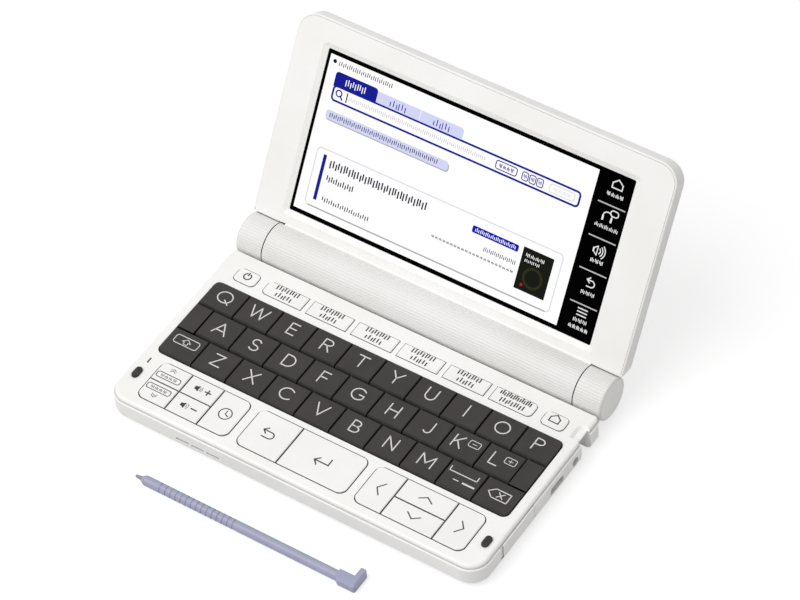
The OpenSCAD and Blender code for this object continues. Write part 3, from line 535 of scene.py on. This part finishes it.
def drawStrokes(strokes, width, rise):
    # each open line gets square ends, so that corners close; the round tube is pressed flat
    deselectAll()
    bpy.ops.curve.primitive_bezier_curve_add()
    curve = bpy.context.object
    curve.data.splines.clear()
    for stroke in strokes:
        closed = stroke[0] == stroke[-1]
        points = [Vector(p) for p in (stroke[:-1] if closed else stroke)]
        if not closed:
            points[0] += (points[0] - points[1]).normalized() * width / 2
            points[-1] += (points[-1] - points[-2]).normalized() * width / 2
        line = curve.data.splines.new("POLY")
        line.points.add(len(points) - 1)
        for linePoint, (x, y) in zip(line.points, points):
            linePoint.co = (x * mm, y * mm, 0, 1)
        line.use_cyclic_u = closed
    curve.data.twist_mode = "Z_UP"
    curve.data.bevel_depth = width / 2 * mm
    curve.data.bevel_resolution = 1
    curve.data.use_fill_caps = True
    bpy.ops.object.convert(target="MESH")
    drawn = bpy.context.object
    drawn.scale = (1, 1, rise / (width / 2))
    bpy.ops.object.transform_apply(location=False, rotation=False, scale=True)
    bpy.ops.object.shade_smooth()
    return drawn


def moveStrokes(strokes, x, y, scaleX, scaleY):
    return [[(x + px * scaleX, y + py * scaleY) for px, py in stroke] for stroke in strokes]


# capital letters as (width in millimetres, strokes in a box one wide and one high)
bowlTop = [(0, 1), (0.5, 1)] + arc(0.5, 0.745, 0.5, 0.255, 90, -90) + [(0, 0.49)]
letterShapes = {
    "a": (5.0, [[(0, 0), (0.5, 1)], [(0.5, 1), (1, 0)], [(0.19, 0.32), (0.81, 0.32)]]),
    "b": (3.3, [[(0, 0), (0, 1)], [(0, 1), (0.45, 1)] + arc(0.45, 0.76, 0.42, 0.24, 90, -90) + [(0, 0.52)],
                [(0.45, 0.52), (0.5, 0.52)] + arc(0.5, 0.26, 0.5, 0.26, 90, -90) + [(0, 0)]]),
    "c": (4.7, [arc(0.56, 0.5, 0.56, 0.5, 45, 315)]),
    "d": (4.1, [[(0, 0), (0, 1)], [(0, 1), (0.4, 1)] + arc(0.4, 0.5, 0.6, 0.5, 90, -90) + [(0, 0)]]),
    "e": (2.9, [[(0, 0), (0, 1)], [(0, 1), (1, 1)], [(0, 0.52), (0.92, 0.52)], [(0, 0), (1, 0)]]),
    "f": (2.8, [[(0, 0), (0, 1)], [(0, 1), (1, 1)], [(0, 0.5), (0.9, 0.5)]]),
    "g": (4.9, [arc(0.52, 0.5, 0.52, 0.5, 45, 325), [(0.96, 0.22), (0.96, 0.47)], [(0.96, 0.47), (0.6, 0.47)]]),
    "h": (3.8, [[(0, 0), (0, 1)], [(1, 0), (1, 1)], [(0, 0.51), (1, 0.51)]]),
    "i": (0.1, [[(0.5, 0), (0.5, 1)]]),
    "j": (2.7, [[(1, 1), (1, 0.3)] + arc(0.5, 0.3, 0.5, 0.3, 0, -140)]),
    "k": (3.4, [[(0, 0), (0, 1)], [(0, 0.34), (0.95, 1)], [(0.34, 0.58), (1, 0)]]),
    "l": (3.0, [[(0, 0), (0, 1)], [(0, 0), (1, 0)]]),
    "m": (5.0, [[(0, 0), (0, 1)], [(0, 1), (0.5, 0.28)], [(0.5, 0.28), (1, 1)], [(1, 1), (1, 0)]]),
    "n": (3.8, [[(0, 0), (0, 1)], [(0, 1), (1, 0)], [(1, 0), (1, 1)]]),
    "o": (5.2, [arc(0.5, 0.5, 0.5, 0.5, 0, 350) + [(1.0, 0.5)]]),
    "p": (3.2, [[(0, 0), (0, 1)], bowlTop]),
    "q": (5.6, [arc(0.5, 0.5, 0.5, 0.5, 0, 350) + [(1.0, 0.5)], [(0.6, 0.26), (0.93, -0.04)]]),
    "r": (3.4, [[(0, 0), (0, 1)], bowlTop, [(0.5, 0.47), (1, 0)]]),
    "s": (3.3, [arc(0.5, 0.745, 0.45, 0.255, 28, 270) + arc(0.5, 0.245, 0.5, 0.245, 90, -150)[1:]]),
    "t": (3.9, [[(0, 1), (1, 1)], [(0.5, 0), (0.5, 1)]]),
    "u": (3.8, [[(0, 1), (0, 0.38)] + arc(0.5, 0.38, 0.5, 0.38, 180, 360) + [(1, 1)]]),
    "v": (4.6, [[(0, 1), (0.5, 0)], [(0.5, 0), (1, 1)]]),
    "w": (6.6, [[(0, 1), (0.26, 0)], [(0.26, 0), (0.5, 1)], [(0.5, 1), (0.74, 0)], [(0.74, 0), (1, 1)]]),
    "x": (4.1, [[(0, 0), (1, 1)], [(0, 1), (1, 0)]]),
    "y": (4.2, [[(0, 1), (0.5, 0.46)], [(1, 1), (0.5, 0.46)], [(0.5, 0.46), (0.5, 0)]]),
    "z": (3.7, [[(0, 1), (1, 1)], [(1, 1), (0, 0)], [(0, 0), (1, 0)]]),
}


# key legends

# how far each row's letters sit behind the key's middle
letterRows = {"qwertyuiop": 0.76, "asdfghjkl": 0.65, "zxcvbnm": 0.7}
# besideBox: how far a letter that shares its key with a framed sign stands from the key's middle
letterPrint = {"height": 4.85, "stroke": 0.5, "besideBox": {"k": -2.45, "l": -2.05}}
framedSign = {"across": 3.05, "up": 1.45, "frame": (4.1, 2.6, 0.6), "frameStroke": 0.3,
              "halfWidth": 0.8, "halfHeight": 0.6, "signStroke": 0.26}
legendRise = 0.03


def keyTop(nodeName):
    low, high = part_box(nodeName)
    return (low.x + high.x) / 2 / mm, (low.y + high.y) / 2 / mm, high.z


def addLegend(nodeName, strokeGroups, material):
    # strokeGroups is a list of (strokes, stroke width), in row-frame millimetres
    top = keyTop(nodeName)[2]
    parts = [drawStrokes(strokes, width, legendRise) for strokes, width in strokeGroups]
    legend = joinPieces(nodeName + "_legend", parts)
    finishPiece(legend, Matrix.Translation((0, 0, top)), material, nodeName)


def lines(*points):
    # one straight stroke from each point to the next
    return [[start, end] for start, end in zip(points, points[1:])]


def framedMark(x, y, plus, look=framedSign):
    # a minus or a plus in a small rounded frame
    sign = lines((x - look["halfWidth"], y), (x + look["halfWidth"], y))
    if plus:
        sign += lines((x, y - look["halfHeight"]), (x, y + look["halfHeight"]))
    return [([roundedBox(x, y, *look["frame"])], look["frameStroke"]), (sign, look["signStroke"])]


for row, lift in letterRows.items():
    for letter in row:
        x, y = keyTop("key_" + letter)[:2]
        width, shape = letterShapes[letter]
        left = x - width / 2 + letterPrint["besideBox"].get(letter, 0)
        low = y + lift - letterPrint["height"] / 2
        groups = [(moveStrokes(shape, left, low, width, letterPrint["height"]), letterPrint["stroke"])]
        if letter in letterPrint["besideBox"]:
            groups += framedMark(x + framedSign["across"], y + lift + framedSign["up"], letter == "l")
        addLegend("key_" + letter, groups, finish["legendLight"])

darkSigns = {
    "key_shift": [([roundedBox(-62.95, -14.3, 9.4, 3.6, 1.0)], 0.34),
                  (lines((-64.6, -14.5), (-62.95, -13.1), (-61.3, -14.5), (-62.2, -14.5), (-62.2, -15.5),
                         (-63.7, -15.5), (-63.7, -14.5), (-64.6, -14.5)), 0.3)],
    "key_space": [(lines((43.6, -13.0), (43.6, -14.7), (54.1, -14.7), (54.1, -13.0)), 0.42),
                  (lines((46.9, -17.5), (48.6, -17.5)), 0.42), (lines((50.6, -17.5), (54.6, -17.5)), 0.75)],
    "key_delete": [(lines((59.3, -15.6), (61.4, -13.7), (67.1, -13.7), (67.1, -17.5), (61.4, -17.5), (59.3, -15.6))
                    + lines((63.0, -14.6), (65.0, -16.6)) + lines((63.0, -16.6), (65.0, -14.6)), 0.4)],
}
for nodeName, groups in darkSigns.items():
    addLegend(nodeName, groups, finish["legendLight"])


def speaker(x, y):
    # a small loudspeaker with two sound waves
    magnet = lines((x, y + 0.45), (x, y - 0.45)) + lines((x + 0.45, y + 0.45), (x + 0.45, y - 0.45))
    cone = lines((x + 0.5, y + 0.45), (x + 1.25, y + 0.95), (x + 1.25, y - 0.95), (x + 0.5, y - 0.45))
    cone += lines((x + 0.9, y + 0.5), (x + 0.9, y - 0.5))
    waves = [arc(x + 1.2, y, radius, radius, -42, 42) for radius in (0.85, 1.5)]
    return [(magnet, 0.5), (cone, 0.42), (waves, 0.24)]


chevron = {"half": 1.0, "rise": 0.6, "step": 0.75, "stroke": 0.26}


def chevrons(x, y, up, look=chevron):
    # two arrow heads, one behind the other
    way = 1 if up else -1
    strokes = []
    for step in (0, look["step"]):
        low = y + way * (step - look["rise"])
        strokes += lines((x - look["half"], low), (x, low + way * look["rise"]), (x + look["half"], low))
    return (strokes, look["stroke"])


# plain upright slivers, as (place, low, high) in a box one wide and one high, for print that isn't copied
markShapes = [((0, 0, 0.85), (0.5, 0.2, 1), (1, 0, 0.7)),
              ((0, 0.3, 1), (0.5, 0, 0.8), (1, 0.15, 1)),
              ((0, 0.1, 0.65), (0.5, 0.15, 1), (1, 0, 0.6))]


def wordMarks(left, right, middle, height, count, gap=0.75):
    # a line of print shown as a row of plain slivers; the place in the row picks the shape
    width = (right - left - gap * (count - 1)) / count
    strokes = []
    for i in range(count):
        shape = markShapes[(i * i + count) % len(markShapes)]
        slivers = [[(at, foot), (at, top)] for at, foot, top in shape]
        strokes += moveStrokes(slivers, left + i * (width + gap), middle - height / 2, width, height)
    return strokes


pageSign = {"x": -59.2, "frame": (9.4, 2.3, 0.8), "frameStroke": 0.34, "marks": (-62.2, -56.2), "markHeight": 0.9,
            "markCount": 4, "markStroke": 0.26}


def framedWord(y, look=pageSign):
    # a framed line of slivers, below or above the chevrons of the page key
    return [([roundedBox(look["x"], y, *look["frame"])], look["frameStroke"]),
            (wordMarks(*look["marks"], y, look["markHeight"], look["markCount"]), look["markStroke"])]


whiteSigns = {
    "key_power": [([arc(-62.2, 20.9, 1.35, 1.35, 122, 418)], 0.52), (lines((-62.2, 21.4), (-62.2, 22.5)), 0.52)],
    "key_home": [(lines((60.3, 19.8), (63.9, 19.8), (63.9, 21.6), (62.1, 23.0), (60.3, 21.6), (60.3, 19.8)), 0.46)],
    "key_page": [chevrons(-59.4, -26.9, True), *framedWord(-30.2), chevrons(-59.1, -38.9, False), *framedWord(-35.9)],
    "key_volume": speaker(-49.0, -28.8)
                  + [(lines((-44.9, -28.8), (-42.9, -28.8)) + lines((-43.9, -27.8), (-43.9, -29.8)), 0.55)]
                  + speaker(-49.0, -37.2) + [(lines((-44.9, -37.2), (-42.9, -37.2)), 0.55)],
    "key_history": [([arc(-33.7, -33.2, 2.3, 2.3, 0, 350) + [(-31.4, -33.2)]], 0.42),
                    (lines((-33.7, -33.2), (-33.7, -31.7)) + lines((-33.7, -33.2), (-32.4, -33.9)), 0.38)],
    "key_back": [([[(-18.6, -31.9), (-15.6, -31.9)] + arc(-15.6, -33.3, 1.5, 1.4, 90, -90) + [(-18.0, -34.7)]], 0.48),
                 (lines((-17.5, -30.7), (-18.8, -31.9), (-17.5, -33.1)), 0.48)],
    "key_enter": [(lines((8.2, -31.4), (8.2, -33.9), (2.8, -33.9))
                   + lines((4.3, -32.4), (2.8, -33.9), (4.3, -35.4)), 0.52)],
    "key_left": [(lines((29.1, -30.5), (27.1, -33.1), (29.1, -35.6)), 0.45)],
    "key_up": [(lines((41.4, -29.8), (43.85, -28.2), (46.3, -29.8)), 0.45)],
    "key_down": [(lines((41.4, -36.5), (43.85, -38.3), (46.3, -36.5)), 0.45)],
    "key_right": [(lines((58.8, -30.6), (60.75, -33.0), (58.8, -35.6)), 0.45)],
}

# the two lines of slivers on each key of the top row, as (half width, count) with the upper line first
bookLabels = {"lines": [((4.2, 3), (2.9, 2))] * 5 + [((5.8, 5), (4.3, 3))], "middles": (22.3, 19.4),
              "height": 1.7, "gap": 0.9, "stroke": 0.52}
for i, halves in enumerate(bookLabels["lines"]):
    nodeName = f"key_book_{i + 1}"
    x = keyTop(nodeName)[0]
    whiteSigns[nodeName] = [(wordMarks(x - half, x + half, middle, bookLabels["height"], count, bookLabels["gap"]),
                             bookLabels["stroke"])
                            for (half, count), middle in zip(halves, bookLabels["middles"])]
for nodeName, groups in whiteSigns.items():
    addLegend(nodeName, groups, finish["legendDark"])
print("key legends printed")


# display picture: flat tiles and strokes laid on the glass, drawn in the lid's own x and v

display = {"hinge": (0, 0.0382, 0.0106), "face": -1.85, "step": 0.012, "tileDepth": 0.012, "cornerSteps": 5,
           "printRise": 0.02, "pageShift": (-0.45, -0.2)}


def addTile(left, right, low, high, radius=0, corners="all"):
    centreX, centreY = (left + right) / 2 * mm, (low + high) / 2 * mm
    deselectAll()
    bpy.ops.mesh.primitive_plane_add(size=1, location=(centreX, centreY, 0))
    tile = bpy.context.object
    tile.scale = ((right - left) * mm, (high - low) * mm, 1)
    bpy.ops.object.transform_apply(location=True, rotation=True, scale=True)
    if radius:
        bpy.ops.object.mode_set(mode="EDIT")
        bpy.ops.mesh.select_all(action="DESELECT")
        bpy.ops.object.mode_set(mode="OBJECT")
        for vertex in tile.data.vertices:
            isTop, isRight = vertex.co.y > centreY, vertex.co.x > centreX
            vertex.select = {"all": True, "top": isTop, "topRight": isTop and isRight}[corners]
        bpy.ops.object.mode_set(mode="EDIT")
        bpy.ops.mesh.bevel(offset=radius * mm, segments=display["cornerSteps"], affect="VERTICES")
    bpy.ops.object.mode_set(mode="EDIT")
    bpy.ops.mesh.select_all(action="SELECT")
    bpy.ops.mesh.extrude_region_move(TRANSFORM_OT_translate={"value": (0, 0, display["tileDepth"] * mm)})
    bpy.ops.mesh.select_all(action="SELECT")
    bpy.ops.mesh.normals_make_consistent(inside=False)
    bpy.ops.object.mode_set(mode="OBJECT")
    return tile


def onDisplay(strokes, width):
    return drawStrokes(strokes, width, display["printRise"])


def drawMarks(left, right, middle, height, count, width, gap=0.75):
    return onDisplay(wordMarks(left, right, middle, height, count, gap), width)


def putOnGlass(name, parts, layer, material, shift=(0, 0)):
    # each layer lies one thin step above the one below
    lift = display["face"] + display["step"] * layer
    drawing = Matrix.Translation((shift[0] * mm, shift[1] * mm, lift * mm))
    place = Matrix.Translation(display["hinge"]) @ Matrix.Rotation(lidTilt, 4, "X") @ drawing
    finishPiece(joinPieces(name, parts), place, finish[material], "lid")


def putOnPage(name, parts, layer, material):
    putOnGlass(name, parts, layer, material, display["pageShift"])


# the white page and its row of tabs
putOnGlass("displayPage", [addTile(-60.3, 46.4, 15.3, 72.5, 0.2)], 0, "litPage")
putOnPage("displayTabOpen", [addTile(-56.2, -39.0, 62.2, 67.6, 1.3, "top")], 1, "litBlue")
putOnPage("displayTabs", [addTile(-38.9, -21.7, 62.6, 66.8), addTile(-21.5, -4.3, 62.6, 66.8, 1.3, "topRight")],
          1, "litTab")

# the search row
searchRow = 59.9
smallButtons = (21.6, 24.5, 27.4)
putOnPage("displaySearchFrame", [onDisplay([roundedBox(-6.5, searchRow, 98.4, 5.2, 1.3)], 0.75)], 1.5, "litBlue")
putOnPage("displayMagnifier", [onDisplay([arc(-53.3, 60.3, 1.1, 1.1, 0, 350) + [(-52.2, 60.3)]], 0.5),
                               onDisplay(lines((-52.5, 59.5), (-51.8, 58.6)), 0.6)], 1.5, "litBlue")
putOnPage("displayCursor", [onDisplay(lines((-50.0, 58.4), (-50.0, 61.4)), 0.45)], 1.5, "litInk")
putOnPage("displayHint", [drawMarks(-49.0, 5.5, searchRow, 1.3, 24, 0.26)], 1, "litGrey")
buttonFrames = [roundedBox(14.2, searchRow, 8.2, 2.9, 0.8)]
buttonFrames += [roundedBox(x, searchRow, 2.3, 2.9, 0.6) for x in smallButtons]
buttonPrint = [onDisplay(buttonFrames, 0.36), drawMarks(11.6, 16.8, searchRow, 1.2, 4, 0.26)]
buttonPrint += [drawMarks(x - 0.45, x + 0.45, searchRow, 1.2, 1, 0.26) for x in smallButtons]
putOnPage("displaySmallButtons", buttonPrint, 1.5, "litBlue")
putOnPage("displayIdleButton", [onDisplay([roundedBox(36.0, searchRow, 9.6, 2.9, 0.8)], 0.36),
                                drawMarks(33.0, 39.0, searchRow, 1.1, 4, 0.24)], 1.5, "litFaint")

# the labels of the title row, the tabs and the link below
putOnPage("displayTitleRow", [addTile(-58.4, -57.0, 69.9, 71.3, 0.65), drawMarks(-55.8, -34.6, 70.4, 1.5, 9, 0.3)],
          1, "litInk")
putOnPage("displayTabLabels", [drawMarks(left, left + 6, 64.6, 2.3, 2, 0.36, 0.9) for left in (-33.5, -16.0)],
          2, "litBlue")
putOnPage("displayOpenLabel", [drawMarks(-51.6, -44.0, 64.9, 2.3, 3, 0.36, 0.9)], 2, "litPage")
putOnPage("displayLinkShadow", [addTile(-56.0, -6.3, 49.8, 53.0, 1.1)], 1, "litShadow")
putOnPage("displayLink", [addTile(-56.3, -6.7, 50.2, 53.5, 1.1)], 2, "litTab")
putOnPage("displayLinkLabel", [drawMarks(-54.6, -11.2, 51.9, 1.5, 18, 0.3)], 3, "litInk")

# the card with a heading, a badge, notes and a plain cover tile
putOnPage("displayCardFrame", [onDisplay([roundedBox(-6.6, 29.0, 98.8, 21.4, 1.6)], 0.4)], 1, "litFaint")
putOnPage("displayCardFoot", [onDisplay(lines((-54.4, 18.3), (41.2, 18.3)), 0.55)], 1.5, "litShadow")
putOnPage("displayCardMark", [addTile(-53.2, -51.9, 20.9, 37.8)], 1, "litBlue")
putOnPage("displayHeading", [drawMarks(-49.8, -11.0, 35.3, 2.6, 12, 0.56, 0.95),
                             drawMarks(-49.8, -39.4, 30.0, 1.9, 4, 0.45, 0.9),
                             drawMarks(-49.6, -31.0, 22.3, 1.5, 7, 0.38, 0.9)], 1, "litInk")
putOnPage("displayBadge", [addTile(7.9, 26.2, 33.9, 36.4, 0.5)], 1, "litBadge")
putOnPage("displayBadgeLabel", [drawMarks(9.2, 24.9, 35.15, 1.2, 8, 0.28)], 2, "litPage")
putOnPage("displayNotes", [drawMarks(14.0, 26.2, 29.9, 1.4, 6, 0.28), drawMarks(-6.0, 26.2, 26.6, 0.6, 22, 0.24)],
          1, "litInk")
putOnPage("displayCover", [addTile(28.0, 39.9, 21.7, 36.9, 0.2)], 1, "litCover")
putOnPage("displayCoverRing", [onDisplay([arc(34.0, 27.2, 3.4, 3.4, 0, 350) + [(37.4, 27.2)]], 0.9)], 2, "litMoss")
putOnPage("displayCoverDot", [addTile(30.0, 31.0, 23.2, 24.2, 0.4)], 2, "litRed")
putOnPage("displayCoverLabel", [drawMarks(29.6, 36.4, 34.4, 1.1, 4, 0.26), drawMarks(29.6, 35.0, 32.4, 0.9, 3, 0.24)],
          2, "litPage")

# the strip of icons at the right; labels are lines of slivers, as (middle, half width, count)
iconStrip = {"x": 54.1, "ruleEnds": (48.9, 58.9), "rules": (62.4, 50.2, 38.2, 26.0), "ruleWidth": 0.45,
             "labelInset": 0.1, "labelHeight": 1.15, "labelStroke": 0.3,
             "labels": {"home": [(66.2, 3.0, 4)], "listen": [(54.6, 4.3, 5)], "sound": [(42.2, 2.3, 3)],
                        "back": [(30.4, 2.5, 3)], "menu": [(20.2, 2.5, 3), (17.6, 3.6, 5)]}}


def drawIcons(x):
    # each icon is a list of (strokes, stroke width)
    house = lines((x - 1.9, 68.6), (x + 1.9, 68.6), (x + 1.9, 70.3), (x, 71.8), (x - 1.9, 70.3), (x - 1.9, 68.6))
    headband = [arc(x - 0.6, 58.3, 1.7, 1.6, -10, 190), roundedBox(x + 1.7, 60.1, 2.9, 2.0, 0.9)]
    earCups = lines((x - 2.2, 58.0), (x - 2.2, 57.0)) + lines((x + 1.0, 58.0), (x + 1.0, 57.0))
    magnet = lines((x - 2.2, 46.4), (x - 2.2, 45.4))
    cone = lines((x - 2.0, 46.6), (x - 0.8, 47.5), (x - 0.8, 44.3), (x - 2.0, 45.2))
    waves = [arc(x - 0.8, 45.9, radius, radius, -45, 45) for radius in (1.2, 2.1, 3.0)]
    backY = 34.0
    hook = [[(x - 1.3, backY + 1.1), (x + 0.4, backY + 1.1)] + arc(x + 0.4, backY - 0.05, 1.2, 1.15, 90, -90)
            + [(x - 1.1, backY - 1.2)]]
    hook += lines((x - 0.4, backY + 2.0), (x - 1.4, backY + 1.1), (x - 0.4, backY + 0.2))
    bars = [[(x - 1.7, 23.3 + step), (x + 1.7, 23.3 + step)] for step in (-1.2, 0, 1.2)]
    return {"home": [(house, 0.42)], "listen": [(headband, 0.4), (earCups, 0.7)],
            "sound": [(magnet, 0.6), (cone, 0.36), (waves, 0.38)], "back": [(hook, 0.42)], "menu": [(bars, 0.42)]}


for iconName, groups in drawIcons(iconStrip["x"]).items():
    parts = [onDisplay(strokes, width) for strokes, width in groups]
    for middle, half, count in iconStrip["labels"][iconName]:
        reach = half - iconStrip["labelInset"]
        parts.append(drawMarks(iconStrip["x"] - reach, iconStrip["x"] + reach, middle, iconStrip["labelHeight"], count,
                               iconStrip["labelStroke"]))
    putOnGlass("panelIcon_" + iconName, parts, 0, "litIcon")
ruleLines = [[(end, v) for end in iconStrip["ruleEnds"]] for v in iconStrip["rules"]]
putOnGlass("panelRules", [onDisplay(ruleLines, iconStrip["ruleWidth"])], 0, "litRule")
print("display drawn")


# the closing line

print("scene built")
